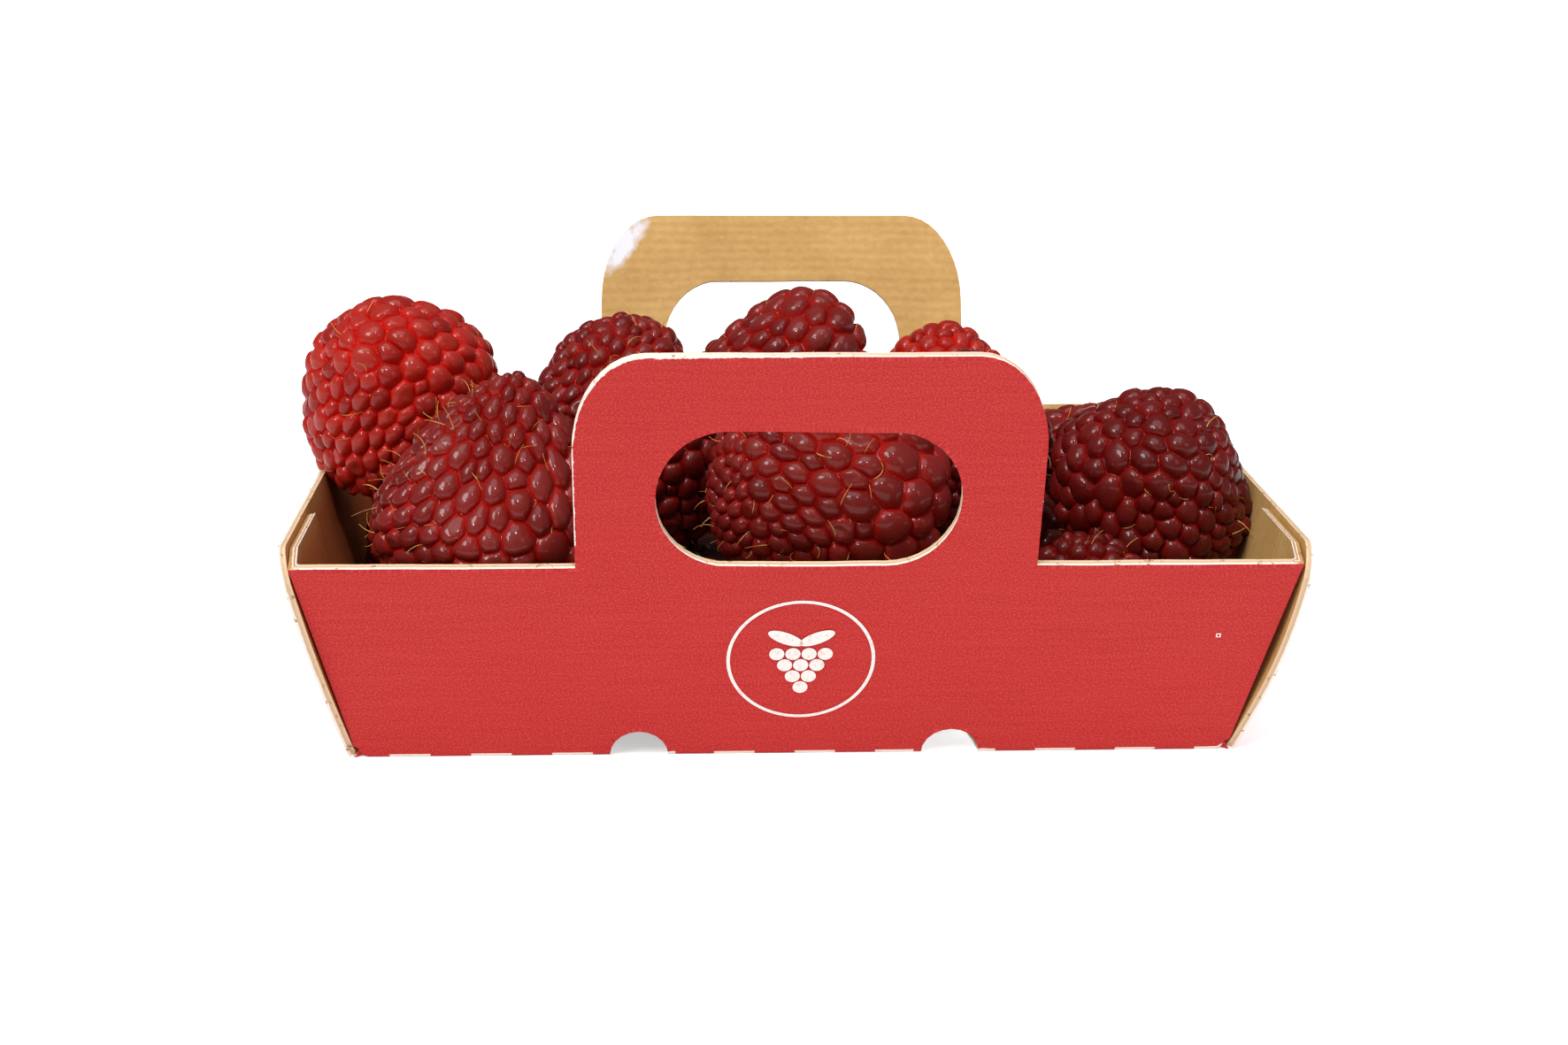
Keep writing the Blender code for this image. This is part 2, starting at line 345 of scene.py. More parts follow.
def add_panel(sheet, kind, outlines, place, flat_place):
    """Fills one panel and adds it to the sheet at its place."""
    bm = bmesh.new()
    for outline in outlines:
        corners = [bm.verts.new((x, y, 0)) for x, y in stepped(outline)]
        for pair in zip(corners, corners[1:] + corners[:1]):
            bm.edges.new(pair)
    bmesh.ops.triangle_fill(bm, edges=bm.edges[:], use_beauty=True, normal=(0, 0, 1))
    for face in bm.faces:
        face.normal_update()
    bmesh.ops.reverse_faces(bm, faces=[face for face in bm.faces if face.normal.z < 0])
    for _ in range(4):
        long_edges = [e for e in bm.edges if not e.is_boundary and e.calc_length() > LONGEST_EDGE]
        bmesh.ops.subdivide_edges(bm, edges=long_edges, cuts=1)
        bmesh.ops.triangulate(bm, faces=bm.faces[:])
        bmesh.ops.beautify_fill(bm, faces=bm.faces[:], edges=[e for e in bm.edges if not e.is_boundary])
    uv = bm.loops.layers.uv.new("sheet")
    part = bm.verts.layers.int.new("panel")
    for face in bm.faces:
        for loop in face.loops:
            loop[uv].uv = (flat_place @ loop.vert.co).xy
    for vert in bm.verts:
        vert[part] = kind
    bmesh.ops.transform(bm, matrix=place, verts=bm.verts)
    mesh = bpy.data.meshes.new("panel")
    bm.to_mesh(mesh)
    bm.free()
    sheet.from_mesh(mesh)
    bpy.data.meshes.remove(mesh)


sheet = bmesh.new()
under = Matrix.Rotation(math.pi, 4, "X")
add_panel(sheet, BASE, [base_outline()], under, under)
for turn, shift in ((0, FRONT_SHIFT), (180, BACK_SHIFT)):
    outlines = [wall_outline(shift), grip_outline(shift)]
    add_panel(sheet, WALL, outlines, stand(turn, HALF_DEPTH, WALL_LEAN), lie(turn, HALF_DEPTH))
for turn in (90, -90):
    add_panel(sheet, END, [end_outline()], stand(turn, END_REACH, END_LEAN), lie(turn, END_REACH))
    for side in (-1, 1):
        add_panel(sheet, TAB, [tab_outline(side)], stand(turn, HALF_LENGTH, END_LEAN), lie(turn, END_REACH))
bmesh.ops.remove_doubles(sheet, verts=sheet.verts, dist=0.02 * MM)
print("sheet:", len(sheet.verts), "vertices,", len(sheet.faces), "faces")

# %% [markdown]
# ## Cut edges that look cut
# A narrow band is inset all along the sheet's cut edges. The points of the edge itself are marked
# with how worn they are, and the band's inner side isn't worn, so a material can let the white
# liner show in that band only. The edge's points are also pushed a little to and fro in the
# board's own plane. Last, the panels are bowed by a smooth noise that dies out at the base.

# %% Edge band, wear and bowing
BAND = 0.5 * MM
EDGE_UNEVEN = 0.035 * MM
WARP = 0.25 * MM
END_BULGE = 1.0 * MM
BULGE_HEIGHT = 20.0 * MM

wear = sheet.verts.layers.float.new("edge_wear")
pale = sheet.verts.layers.float.new("pale_cut")
panel_of = sheet.verts.layers.int["panel"]
bmesh.ops.inset_region(
    sheet, faces=sheet.faces[:], thickness=BAND, use_boundary=True, use_even_offset=True
)
sheet.normal_update()


def smooth_step(low, high, value):
    share = min(1.0, max(0.0, (value - low) / (high - low)))
    return share * share * (3 - 2 * share)


def handle_wear(place):
    """The front handle is rubbed most along its top and its left shoulder, and its hole isn't."""
    slope = place.z / math.cos(WALL_LEAN)
    in_hole = abs(place.x - FRONT_SHIFT) < GRIP_WIDTH / 2 + MM and slope < GRIP_TOP + MM
    if place.y > 0 or place.z < 30 * MM or in_hole:
        return 0.3
    return 0.8 - 0.35 * smooth_step(-22 * MM, 15 * MM, place.x)


moves = {}
for vert in sheet.verts:
    away = noise.noise(vert.co * 45) + 0.4 * noise.noise(vert.co * 130)
    move = vert.normal * away * WARP * smooth_step(4 * MM, 25 * MM, vert.co.z)
    if vert[panel_of] == END:
        near_edge = smooth_step(14 * MM, 40 * MM, -vert.co.y)
        lift = math.sin(math.pi * min(1.0, vert.co.z / (1.5 * BULGE_HEIGHT)))
        share = 1.0 if vert.co.x > 0 else 0.25
        move = vert.normal * END_BULGE * share * near_edge * max(0.0, lift)
    if vert.is_boundary:
        vert[wear] = handle_wear(vert.co)
        jitter = noise.noise_vector(vert.co * 420) * EDGE_UNEVEN
        move += jitter - vert.normal * jitter.dot(vert.normal)
    vert[pale] = 1.0 if vert[panel_of] == TAB else 0.0
    moves[vert] = move
for vert, move in moves.items():
    if vert[panel_of] != TAB:
        vert.co += move
outer_count = len(sheet.verts)
for face in sheet.faces:
    face.material_index = 0
carton = keep(sheet, "carton_board", "carton", smooth=False)
print("outer skin:", outer_count, "vertices")

# %% [markdown]
# ## Giving the sheet its thickness
# Solidify grows the board inwards from the printed skin. Its material offsets give the inside the
# kraft finish and the rim the cut-edge finish. The skin's vertices come first and the inside's
# after them, so a value of 0 on the first and 1 on the rest tells the rim's material how deep in
# the board each point is. The folds are then rounded on their outer side with a bevel.

# %% Thickness and rounded folds
FOLD_ROUND = 0.45 * MM
FOLD_ANGLE = math.radians(20)

thicken = carton.modifiers.new("board thickness", "SOLIDIFY")
thicken.thickness = BOARD
thicken.offset = -1.0
thicken.use_even_offset = True
thicken.use_quality_normals = True
thicken.material_offset = 1
thicken.material_offset_rim = 2
for name in ("printed_side", "kraft_side", "cut_edge"):
    carton.data.materials.append(bpy.data.materials.new(name))
bake_modifiers(carton)

bm = bmesh.new()
bm.from_mesh(carton.data)
bm.verts.ensure_lookup_table()
depth = bm.verts.layers.float.new("board_depth")
for vert in bm.verts:
    vert[depth] = 0.0 if vert.index < outer_count else 1.0
folds = []
for edge in bm.edges:
    printed = all(face.material_index == 0 for face in edge.link_faces)
    at_base = all(vert.co.z < 0.1 * MM for vert in edge.verts)
    if printed and at_base and len(edge.link_faces) == 2 and edge.calc_face_angle() > FOLD_ANGLE:
        folds.append(edge)
bmesh.ops.bevel(
    bm,
    geom=folds,
    offset=FOLD_ROUND,
    segments=3,
    profile=0.5,
    affect="EDGES",
    material=-1,
    clamp_overlap=True,
)
for face in bm.faces:
    face.smooth = False
bm.to_mesh(carton.data)
bm.free()
print("folds bevelled:", len(folds), "edges; board:", len(carton.data.polygons), "faces")

# %% [markdown]
# ## The printed side
# The red ink lies on a white liner and looks finely mottled, with faint streaks along the sheet.
# The mottle and the streaks are noises read from the sheet's UV map. Where the edge is worn, a
# noise breaks the ink up and the white liner shows. The crease along the front's foot is cut in
# dashes, and each dash shows white too.

# %% Finish of the printed side
RED = rgb(176, 34, 33)
RED_DARK = rgb(158, 16, 18)
RED_LIGHT = rgb(208, 76, 72)
LINER = rgb(238, 226, 214)
DASH_PITCH = 10.0 * MM
DASH_HALF_HEIGHT = 0.5 * MM

material, tree, shader = new_finish("print_red", 0.7, Specular_IOR_Level=0.2)
sheet_uv = node(tree, "UVMap", uv_map="sheet").outputs[0]
mottle = grain(tree, stretched(tree, sheet_uv, (4200, 4200, 1)), 1.0, 3.0, 0.8)
streaks = grain(tree, stretched(tree, sheet_uv, (70, 1500, 1)), 1.0, 3.0, 0.6)
ink = ramp(tree, mottle, [(0.36, RED_DARK), (0.50, RED), (0.70, RED_LIGHT)])
faded = blend(tree, math_node(tree, "MULTIPLY", streaks, 0.36), ink, RED_LIGHT)
nicks = grain(tree, stretched(tree, sheet_uv, (900, 900, 1)), 1.0, 3.0, 0.7)
worn = math_node(tree, "ADD", attribute(tree, "edge_wear"), math_node(tree, "MULTIPLY", nicks, 0.9))
bare = math_node(tree, "GREATER_THAN", worn, 1.02)
split = node(tree, "SeparateXYZ", {0: sheet_uv})
to_fold = math_node(tree, "ABSOLUTE", math_node(tree, "ADD", split.outputs[1], HALF_DEPTH))
on_fold = math_node(tree, "LESS_THAN", to_fold, DASH_HALF_HEIGHT)
along = math_node(tree, "FRACT", math_node(tree, "DIVIDE", split.outputs[0], DASH_PITCH))
dash = math_node(tree, "MULTIPLY", on_fold, math_node(tree, "LESS_THAN", along, 0.5))
on_wall = math_node(tree, "LESS_THAN", math_node(tree, "ABSOLUTE", split.outputs[0]), HALF_LENGTH)
dash = math_node(tree, "MULTIPLY", dash, on_wall)
bare = math_node(tree, "MAXIMUM", bare, dash)
tree.links.new(blend(tree, bare, faded, LINER), shader.inputs["Base Color"])
print_red = material

# %% [markdown]
# ## The kraft side and the cut edge
# The inside is brown kraft paper. The flutes under it show as very faint bands, and short fibres
# give a fine grain. A soft pale patch shows on the rear handle. The inside of the left end is
# painted a reddish brown that stands for shade and red light thrown by the berries. The cut edge is
# read by depth: a white liner, the flutes in shades of tan, and the kraft liner, with darker spots
# of painted shade in its pits. The tabs, which are pressed flat, get a ramp with two pale lines.

# %% Finishes of the kraft side and the cut edge
KRAFT = rgb(198, 158, 98)
KRAFT_DARK = rgb(180, 138, 80)
KRAFT_LIGHT = rgb(208, 172, 116)
FLUTE_TAN = rgb(176, 128, 78)
FLUTE_SHADE = rgb(150, 104, 62)
PALE_CUT = rgb(216, 206, 202)
FLUTE_PITCH = 1.5 * MM
# A soft pale patch on the rear handle's inner face: its centre, size, turn and colour.
PATCH_CENTRE = (-22.3 * MM, HALF_DEPTH + 53.5 * MM, 0)
PATCH_SIZE = (8.0 * MM, 3.0 * MM)
PATCH_TURN = math.radians(-52)
PATCH_WHITE = rgb(226, 224, 230)
# Painted shade on the inside of the left end: a reddish-brown tint that stands for shade and red light thrown by the
# berries, how far in and how high it reaches, and how softly it fades.
SHADE_TINT = (0.85, 0.38, 0.30, 1.0)
SHADE_REACH = 48.0 * MM
SHADE_TOP = 32.0 * MM
SHADE_SOFT = 6.0 * MM

material, tree, shader = new_finish("kraft", 0.75, Specular_IOR_Level=0.25)
sheet_uv = node(tree, "UVMap", uv_map="sheet").outputs[0]
bands = node(
    tree,
    "TexWave",
    {
        "Vector": stretched(tree, sheet_uv, (1, 1, 1)),
        "Scale": 0.05 * math.pi * 2 / FLUTE_PITCH,
        "Distortion": 0.0,
    },
    bands_direction="Y",
).outputs["Fac"]
fibres = grain(tree, stretched(tree, sheet_uv, (800, 1100, 1)), 1.0, 4.0, 0.6)
clouds = grain(tree, stretched(tree, sheet_uv, (90, 130, 1)), 1.0, 2.0)
faint_bands = math_node(tree, "MULTIPLY", bands, 0.08)
tone = math_node(tree, "ADD", faint_bands, math_node(tree, "MULTIPLY", fibres, 0.45))
tone = math_node(tree, "ADD", tone, math_node(tree, "MULTIPLY", clouds, 0.45))
paper = ramp(tree, tone, [(0.34, KRAFT_DARK), (0.58, KRAFT), (0.80, KRAFT_LIGHT)])
# A broken-up pale patch, paler towards its middle, on the rear handle's inner face.
from_patch = node(tree, "VectorMath", {0: sheet_uv, 1: PATCH_CENTRE}, operation="SUBTRACT").outputs[0]
from_patch = node(tree, "Mapping", {"Vector": from_patch, "Rotation": (0, 0, PATCH_TURN)}).outputs[0]
from_patch = stretched(tree, from_patch, (1 / PATCH_SIZE[0], 1 / PATCH_SIZE[1], 1))
from_patch = node(tree, "VectorMath", {0: from_patch}, operation="LENGTH").outputs["Value"]
near_patch = math_node(tree, "SUBTRACT", 1.0, from_patch, clamp=True)
patches = grain(tree, stretched(tree, sheet_uv, (420, 420, 1)), 1.0, 3.0, 0.6)
pale_patch = math_node(tree, "SUBTRACT", math_node(tree, "MULTIPLY", near_patch, patches), 0.12)
pale_patch = math_node(tree, "MULTIPLY", pale_patch, 5.0, clamp=True)
paper = blend(tree, pale_patch, paper, PATCH_WHITE)
# Painted shade: the kraft at the left end is multiplied by a reddish brown that stands for shade and red light
# thrown by the berries.
place = node(tree, "SeparateXYZ", {0: node(tree, "TexCoord").outputs["Object"]})
painted_shade = math_node(tree, "SUBTRACT", -SHADE_REACH, place.outputs[0])
painted_shade = math_node(tree, "DIVIDE", painted_shade, SHADE_SOFT, clamp=True)
low = math_node(tree, "DIVIDE", math_node(tree, "SUBTRACT", SHADE_TOP, place.outputs[2]), SHADE_SOFT, clamp=True)
painted_shade = math_node(tree, "MULTIPLY", painted_shade, low)
paper = blend(tree, painted_shade, paper, SHADE_TINT, "MULTIPLY")
tree.links.new(paper, shader.inputs["Base Color"])
kraft = material

material, tree, shader = new_finish("cut_edge", 0.8, Specular_IOR_Level=0.2)
inside = attribute(tree, "board_depth")
place = node(tree, "TexCoord").outputs["Object"]
rough = grain(tree, stretched(tree, place, (900, 900, 900)), 1.0, 3.0, 0.7)
ragged = math_node(tree, "MULTIPLY", math_node(tree, "SUBTRACT", rough, 0.5), 0.3)
shifted = math_node(tree, "ADD", inside, ragged)
layers = ramp(
    tree,
    shifted,
    [(0.0, LINER), (0.30, LINER), (0.38, FLUTE_TAN), (0.62, KRAFT_DARK), (0.80, KRAFT), (1.0, KRAFT_LIGHT)],
)
# Darker spots from a noise are painted shade in the pits of the rough cut edge.
pit_shade = ramp(tree, rough, [(0.30, (0, 0, 0, 1)), (0.40, (1, 1, 1, 1))])
tab_layers = ramp(
    tree,
    shifted,
    [(0.40, KRAFT_DARK), (0.46, PALE_CUT), (0.58, PALE_CUT), (0.64, FLUTE_TAN), (0.80, FLUTE_TAN), (0.86, PALE_CUT)],
)
layers = blend(tree, attribute(tree, "edge_wear"), layers, LINER)
layers = blend(tree, attribute(tree, "pale_cut"), layers, tab_layers)
edge_colour = blend(tree, pit_shade, FLUTE_SHADE, layers)
tree.links.new(edge_colour, shader.inputs["Base Color"])
cut_edge = material

for i, material in enumerate((print_red, kraft, cut_edge)):
    carton.data.materials[i] = material
print("carton finishes:", [m.name for m in carton.data.materials])

# %% [markdown]
# ## A mark on the front
# The front wall carries one small round print in white: a thin ring round a plain drawing of a
# berry with two leaves. It is thin mesh lying just proud of the ink. The ring is a circle that is
# extruded and widened, and the discs are filled circles.

# %% The printed mark
MARK_CENTRE = (0.40 * MM, 14.93 * MM)
RING_RADIUS = 9.0 * MM
RING_LINE = 0.42 * MM
PRINT_PROUD = 0.05 * MM
DISC_RADIUS = 0.92 * MM
DISC_ROWS = (4, 3, 2, 1)
LEAF_SIZE = (2.3 * MM, 0.85 * MM)
SPECK_CENTRE = (50.9 * MM, 18.2 * MM)


def ring(bm, centre, outer, inner, sides, turn=0.0):
    """A flat ring: one circle, extruded in place and drawn in."""
    place = Matrix.Translation((*centre, 0)) @ Matrix.Rotation(turn, 4, "Z")
    rim = bmesh.ops.create_circle(bm, segments=sides, radius=outer, matrix=place)["verts"]
    edges = list({edge for vert in rim for edge in vert.link_edges})
    grown = bmesh.ops.extrude_edge_only(bm, edges=edges)["geom"]
    inside = [item for item in grown if isinstance(item, bmesh.types.BMVert)]
    about = Matrix.Translation((-centre[0], -centre[1], 0))
    bmesh.ops.scale(bm, vec=(inner / outer, inner / outer, 1), space=about, verts=inside)


def disc(bm, centre, radii, sides=20, turn=0.0):
    """A filled circle or ellipse."""
    place = Matrix.Translation((*centre, 0)) @ Matrix.Rotation(turn, 4, "Z") @ Matrix.Diagonal((*radii, 1, 1))
    bmesh.ops.create_circle(bm, segments=sides, radius=1.0, cap_ends=True, matrix=place)


bm = bmesh.new()
mark_x, mark_y = MARK_CENTRE
ring(bm, MARK_CENTRE, RING_RADIUS, RING_RADIUS - RING_LINE, 96)
for row, count in enumerate(DISC_ROWS):
    for i in range(count):
        x = mark_x + (i - (count - 1) / 2) * 2.12 * DISC_RADIUS
        disc(bm, (x, mark_y + 0.9 * MM - row * 1.86 * DISC_RADIUS), (DISC_RADIUS, DISC_RADIUS))
for side in (-1, 1):
    disc(bm, (mark_x + side * 1.9 * MM, mark_y + 3.3 * MM), LEAF_SIZE, turn=side * math.radians(24))
ring(bm, SPECK_CENTRE, 0.42 * MM, 0.22 * MM, 4, math.radians(45))
bmesh.ops.recalc_face_normals(bm, faces=bm.faces[:])
bmesh.ops.reverse_faces(bm, faces=[face for face in bm.faces if face.normal.z < 0])
front = stand(0, HALF_DEPTH, WALL_LEAN)
bmesh.ops.transform(bm, matrix=front @ Matrix.Translation((0, 0, PRINT_PROUD)), verts=bm.verts)
mark = keep(bm, "printed_mark", smooth=False)

material, tree, shader = new_finish("white_ink", 0.6, Specular_IOR_Level=0.3)
place = node(tree, "TexCoord").outputs["Object"]
speckle = grain(tree, stretched(tree, place, (1800, 1800, 1800)), 1.0, 3.0, 0.7)
ink = ramp(tree, speckle, [(0.30, rgb(238, 190, 184)), (0.46, rgb(246, 232, 226)), (1.0, rgb(250, 240, 236))])
tree.links.new(ink, shader.inputs["Base Color"])
mark.data.materials.append(material)
print("mark:", len(mark.data.polygons), "faces")

# %% [markdown]
# ## How a raspberry is made
# A raspberry is a hollow cap of juicy beads, called drupelets, packed so tightly that each is
# pressed into a rounded polygon. The same packing comes from a ball of points: `convex_hull` joins
# neighbouring points into triangles, `poke` adds each triangle's middle, and `rotate_edges` turns
# every old edge so that it joins two middles. Each point is then ringed by a polygon of its own,
# and dissolving the point leaves one face for each drupelet.
#
# The points start on an even spiral. Moving them all a little one way before they return to the
# ball crowds them on that side, which gives small beads there and large ones opposite.

# %% Packing the drupelets
GOLDEN_ANGLE = math.pi * (3 - math.sqrt(5))


def packed_ball(count, crowd_side, crowd, unevenness, draw):
    """A unit ball whose faces are the drupelets' outlines."""
    bm = bmesh.new()
    for i in range(count):
        z = 1 - 2 * (i + 0.5) / count
        reach = math.sqrt(1 - z * z)
        angle = GOLDEN_ANGLE * i
        point = Vector((reach * math.cos(angle), reach * math.sin(angle), z))
        nudge = Vector([draw.uniform(-1, 1) for _ in range(3)]) * unevenness / math.sqrt(count)
        bm.verts.new((point + nudge + crowd_side * crowd).normalized())
    bmesh.ops.convex_hull(bm, input=bm.verts[:])
    points = bm.verts[:]
    old_edges = bm.edges[:]
    bmesh.ops.poke(bm, faces=bm.faces[:])
    bmesh.ops.rotate_edges(bm, edges=old_edges)
    bmesh.ops.dissolve_verts(bm, verts=points)
    for vert in bm.verts:
        vert.co.normalize()
    return bm


# %% [markdown]
# ## Raising the beads
# Each polygon is extruded and drawn in four times and then poked, which makes rings round its
# middle. A ring's height follows a dome with steep sides and a broad top, and the rings turn from
# the polygon's shape to a circle on the way up. Heights are kept in a layer called `lift`, because
# the ball is given the berry's true shape only afterwards. A few beads get a dent to one side.

# %% Domes on the ball
RING_SHARES = (0.94, 0.80, 0.56, 0.28)
DOME_SHARE = 0.44
DENT_DEPTH = 0.5


def dome(share):
    """A bead's height from its crease (share 1) to its middle (share 0)."""
    return (1 - share**2.9) ** 0.58


def raise_beads(bm, radius, cuts, dented, draw):
    """Gives every face a dome. Lifts are in metres on a ball of that radius."""
    lift = bm.verts.layers.float.new("lift")
    rise = bm.verts.layers.float.new("bead_rise")
    tint = bm.verts.layers.float.new("bead_tint")
    for _ in range(cuts):
        bmesh.ops.bisect_edges(bm, edges=bm.edges[:], cuts=1)
    for vert in bm.verts:
        vert.co.normalize()
        vert[tint] = 0.5
    number = bm.faces.layers.int.new("bead")
    beads = []
    usual = 2 / math.sqrt(len(bm.faces))
    for face in bm.faces:
        face[number] = len(beads)
        middle = face.calc_center_median().normalized()
        spokes = [vert.co - middle for vert in face.verts]
        size = sum(spoke.length for spoke in spokes) / len(spokes)
        side = spokes[draw.randrange(len(spokes))] * draw.uniform(0.2, 0.55)
        dent = DENT_DEPTH * draw.uniform(0.5, 1.0) if draw.random() < dented else 0.0
        height = math.sqrt(size * usual) * radius * DOME_SHARE * 2 * draw.uniform(0.7, 1.0)
        beads.append((middle, spokes, size, height, side, dent, draw.random()))
    tops = bm.faces[:]
    for share in RING_SHARES:
        tops = bmesh.ops.extrude_discrete_faces(bm, faces=tops)["faces"]
        for face in tops:
            middle, spokes, size, height, side, dent, colour = beads[face[number]]
            for vert, spoke in zip(face.verts, spokes):
                rounded = spoke * (size / spoke.length) ** (1 - share)
                vert.co = (middle + rounded * share).normalized()
                hollow = dent * math.exp(-(((rounded * share - side).length / (0.5 * size)) ** 2))
                vert[lift] = height * (dome(share) - hollow)
                vert[rise] = dome(share)
                vert[tint] = colour
    for vert in bmesh.ops.poke(bm, faces=tops)["verts"]:
        middle, spokes, size, height, side, dent, colour = beads[vert.link_faces[0][number]]
        vert.co = middle
        vert[lift] = height * (1 - dent * math.exp(-((side.length / (0.5 * size)) ** 2)))
        vert[rise] = 1.0
        vert[tint] = colour


# %% [markdown]
# ## The berry's own shape
# The ball is drawn out to the berry's length and width and narrowed towards its tip. Round the
# stem end it turns inwards, as a picked raspberry is hollow where its core was. A slow noise makes
# no two berries alike. Every point is then moved out by its lift, so the beads stand on the
# surface. The beads' tops reach the surface of the frame's plain berry bodies.

# %% Shaping a berry
RIM_ANGLE = math.radians(33)
HOLLOW_DEPTH = 0.42
UNEVEN = 0.09


def shape_berry(bm, length, width, taper, blunt, sunk, seed):
    """Moves every vertex from the unit ball to the berry's surface and out by its lift.

    A blunt value of 2 gives a plain oval, and a higher one fuller shoulders.
    """
    lift = bm.verts.layers.float["lift"]
    half_width, half_length = width / 2 - sunk, length / 2 - sunk
    for vert in bm.verts:
        x, y, z = vert.co
        reach = math.hypot(x, y)
        swell = (reach**blunt + abs(z) ** blunt) ** (-1 / blunt)
        swell *= 1 + UNEVEN * noise.noise(vert.co * 1.2 + Vector((seed, 0, 0)))
        swell *= 1 + UNEVEN * 0.5 * noise.noise(vert.co * 2.6 + Vector((0, seed, 0)))
        outwards = Vector((x, y, 0)) / max(reach, 1e-6)
        from_stem = math.acos(max(-1.0, min(1.0, -z)))
        if from_stem > RIM_ANGLE:
            spot = outwards * reach * (1 - taper * z) * half_width * swell
            spot.z = z * half_length * swell
            facing = Vector((x / half_width, y / half_width, z / half_length)).normalized()
            height = vert[lift]
        else:
            inside = 1 - from_stem / RIM_ANGLE
            rim = math.sin(RIM_ANGLE) * (1 + taper * math.cos(RIM_ANGLE)) * half_width * swell
            rim_z = -math.cos(RIM_ANGLE) * half_length * swell
            spot = outwards * rim * math.cos(inside * math.pi / 2) ** 0.7
            spot.z = rim_z + HOLLOW_DEPTH * length * math.sin(inside * math.pi / 2)
            turn = math.radians(60 + 90 * min(1.0, inside * 2.5))
            turn -= math.radians(60) * max(0.0, inside * 1.67 - 0.67)
            facing = outwards * math.cos(turn) - Vector((0, 0, math.sin(turn)))
            height = vert[lift] * (1 - 0.75 * inside)
        vert.co = spot + facing * height


# %% [markdown]
# ## The heap
# The berries lie where the frame's bodies lie, apart from four that are turned, reshaped and moved
# by up to about a millimetre and a half. Ten show from the front, three more from above, and the
# rest fill the bottom of the tray. A row gives each berry's centre, the heading and tilt of its
# tip, its length, width and taper, where a negative taper widens it towards the tip. Those that
# show have about two hundred beads, and the ones below have fewer, as little of them is seen.

# %% The berries' places
PLACES = {
    "left_rear": (-50.6, -1.0, 37.0, 20, 15, 26.8, 24.6, -0.14),
    "left_front": (-36.4, -27.0, 32.2, 10, 10, 29.0, 26.4, 0.52),
    "rear_left": (-22.6, 22.5, 32.6, 40, 20, 24.5, 23.0, 0.22),
    "middle_left": (-17.5, -4.0, 30.5, 0, 30, 24.0, 21.5, 0.12),
    "rear_middle": (0.8, 21.0, 35.4, 190, 108, 27.0, 22.0, 0.22),
    "front_middle": (4.0, -26.0, 31.0, 190, 75, 29.5, 25.0, 0.06),
    "rear_right": (23.6, 27.0, 30.0, 0, 10, 24.0, 21.0, 0.15),
    "middle_right": (24.2, -3.0, 31.8, 180, 20, 25.0, 22.5, 0.10),
    "right_front": (46.8, -14.0, 28.6, 190, 18, 24.8, 23.6, 0.02),
    "low_front_right": (37.0, -26.0, 13.8, 250, 10, 24.0, 20.5, 0.28),
    "centre": (3.2, -2.0, 30.4, 100, 70, 23.0, 20.5, 0.12),
    "corner_rear_left": (-42.5, 25.0, 20.5, 250, 60, 24.0, 21.0, 0.12),
    "corner_rear_right": (42.5, 20.5, 20.0, 330, 60, 26.0, 22.5, 0.10),
    "low_left": (-45.2, 3.0, 15.2, 150, 15, 26.0, 21.0, 0.14),
    "low_front_left": (-39.0, -16.0, 11.8, 30, 90, 25.0, 20.0, 0.12),
    "low_front_mid_left": (-17.0, -25.5, 11.8, 200, 88, 25.0, 20.5, 0.12),
    "low_front_mid_right": (10.5, -20.5, 10.9, 80, 90, 24.0, 18.5, 0.12),
    "low_mid_left": (-19.5, 0.0, 10.9, 45, 90, 24.0, 18.5, 0.12),
    "low_centre": (5.5, 3.5, 12.0, 330, 90, 25.0, 20.5, 0.12),
    "low_right": (35.0, 3.0, 11.9, 10, 90, 25.0, 20.5, 0.12),
    "low_rear_left": (-14.0, 25.5, 11.9, 170, 90, 25.0, 20.0, 0.12),
    "low_rear_right": (13.0, 24.5, 11.6, 0, 90, 23.0, 19.5, 0.12),
}
# Bead count, crowded side (world x, y, z), how crowded, share of dented beads, bluntness, finish.
LOOKS = {
    "left_rear": (250, (-0.5, -0.5, -0.3), 0.10, 0.20, 2.45, "bright"),
    "left_front": (250, (-1.0, -0.3, -0.2), 0.30, 0.20, 2.0, "bloomed"),
    "rear_left": (240, (-0.6, -0.4, -0.4), 0.15, 0.12, 2.0, "bloomed"),
    "middle_left": (200, (-0.6, -0.4, 0.0), 0.10, 0.10, 2.2, "dark"),
    "rear_middle": (200, (-1.0, -0.2, -0.3), 0.28, 0.25, 2.4, "bloomed"),
    "front_middle": (250, (-1.0, -0.2, -0.3), 0.42, 0.20, 2.4, "bloomed"),
    "rear_right": (170, (0.6, -0.4, 0.0), 0.10, 0.15, 2.3, "bright"),
    "middle_right": (210, (0.6, -0.4, 0.0), 0.10, 0.10, 2.2, "dark"),
    "right_front": (220, (1.0, -0.2, -0.2), 0.12, 0.12, 2.8, "dark"),
    "low_front_right": (190, (0.6, -0.4, 0.0), 0.10, 0.10, 2.1, "dark"),
    "centre": (180, (0.0, -0.4, 0.6), 0.10, 0.10, 2.2, "bloomed"),
    "corner_rear_left": (190, (0.0, 0.4, 0.6), 0.15, 0.10, 2.2, "bright"),
    "corner_rear_right": (190, (0.6, 0.4, 0.0), 0.15, 0.10, 2.2, "bloomed"),
}
PLAIN_LOOK = (110, (0.0, 0.0, 1.0), 0.05, 0.0, 2.2, "dark")


def berry_place(x, y, z, heading, tilt):
    turn = Matrix.Rotation(math.radians(heading), 4, "Z") @ Matrix.Rotation(math.radians(tilt), 4, "Y")
    return Matrix.Translation((x * MM, y * MM, z * MM)) @ turn
